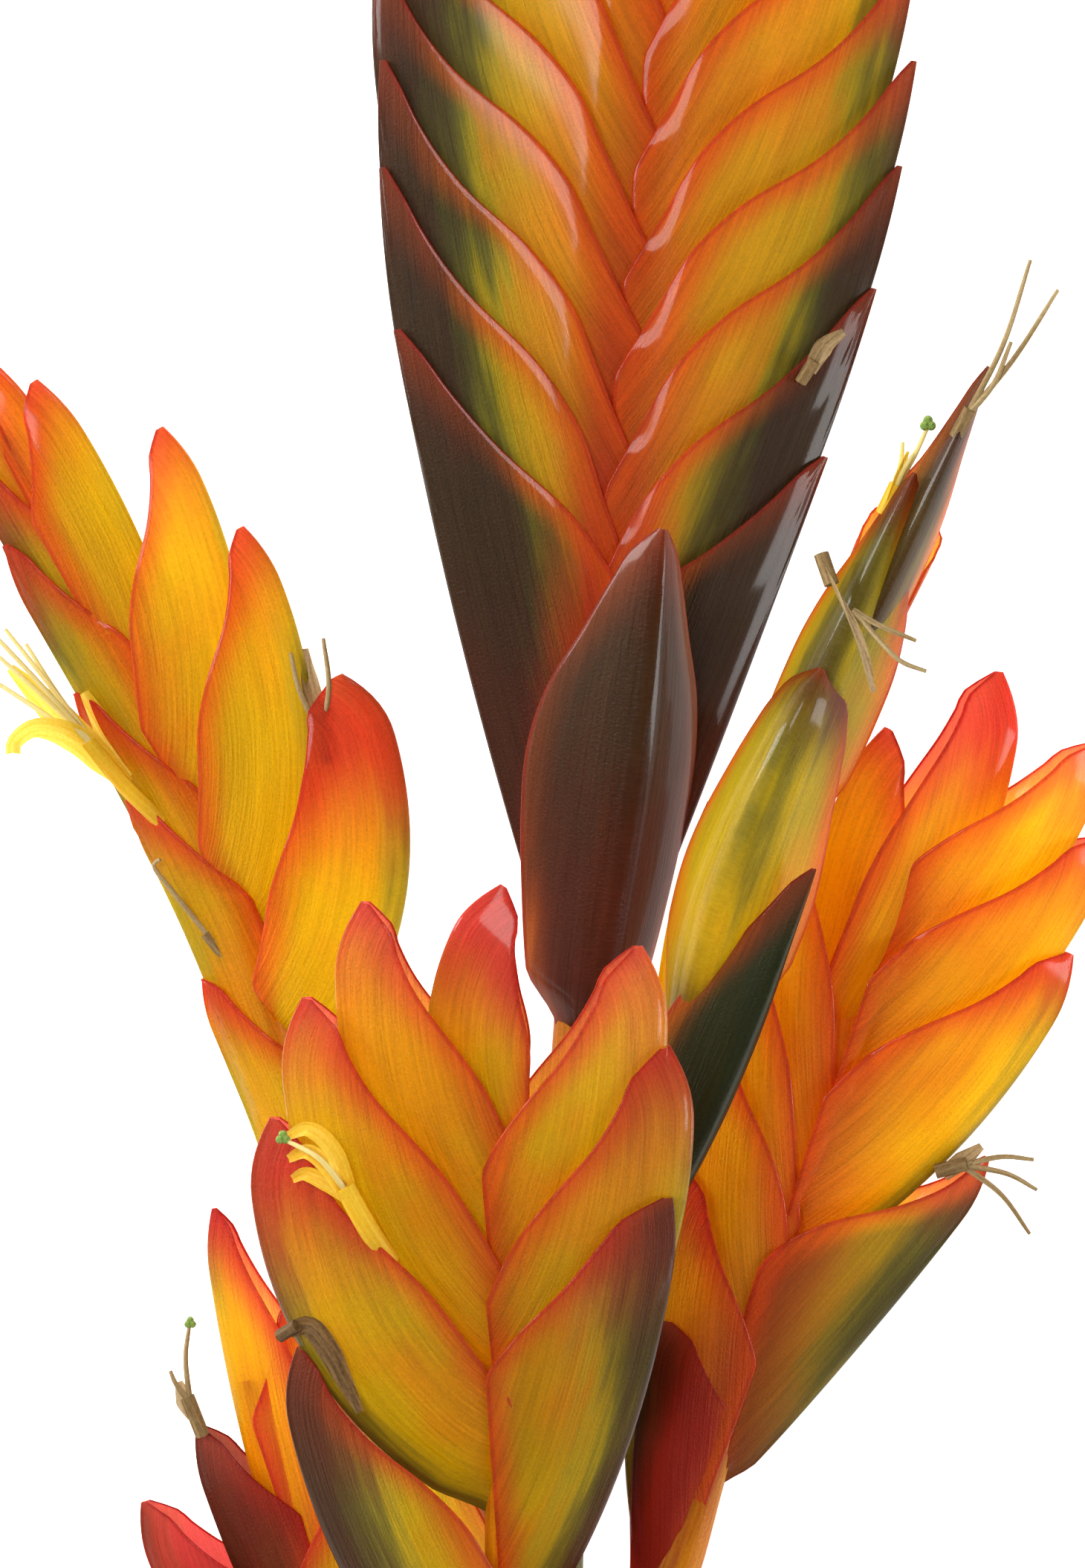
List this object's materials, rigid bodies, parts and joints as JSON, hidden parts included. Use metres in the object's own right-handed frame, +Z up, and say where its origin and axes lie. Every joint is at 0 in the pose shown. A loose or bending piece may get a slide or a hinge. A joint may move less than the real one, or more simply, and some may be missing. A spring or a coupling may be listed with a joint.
{
  "type": "cut flower stem of a flaming sword bromeliad",
  "caption": "Branched bromeliad flower stem, cut and lying down: flat herringbone spikes of folded, pointed bracts in orange, red and amber, with small fresh and withered flowers between them.",
  "frame": {"origin": "the middle of the box round the part, on the surface that it lies on", "axes": "+Y along the stem from its cut end to the tip of the centre spike, +Z up from the surface, +X to the right seen from above with the tip away from the viewer"},
  "size_m": [0.1236, 0.3052, 0.049],
  "materials": {
    "stem": "satin, waxy",
    "spike_centre": "satin, waxy",
    "spike_left": "satin, waxy",
    "spike_front": "satin, waxy",
    "spike_right": "satin, waxy",
    "spike_edge": "satin, waxy",
    "spike_low_left": "satin, waxy",
    "flower_left": "matte, soft",
    "flower_front": "matte, soft",
    "flower_edge": "matte, soft",
    "withered_left": "matte, soft",
    "withered_low": "matte, soft",
    "withered_edge": "matte, soft",
    "withered_tip": "matte, soft",
    "withered_right": "matte, soft",
    "withered_low_left": "matte, soft",
    "withered_front": "matte, soft",
    "withered_centre": "matte, soft"
  },
  "bodies": {
    "root": {"stem": "stem", "spike_centre": "spike_centre", "spike_left": "spike_left", "spike_front": "spike_front", "spike_right": "spike_right", "spike_edge": "spike_edge", "spike_low_left": "spike_low_left", "flower_left": "flower_left", "flower_front": "flower_front", "flower_edge": "flower_edge", "withered_left": "withered_left", "withered_low": "withered_low", "withered_edge": "withered_edge", "withered_tip": "withered_tip", "withered_right": "withered_right", "withered_low_left": "withered_low_left", "withered_front": "withered_front", "withered_centre": "withered_centre"}
  },
  "joints": []
}
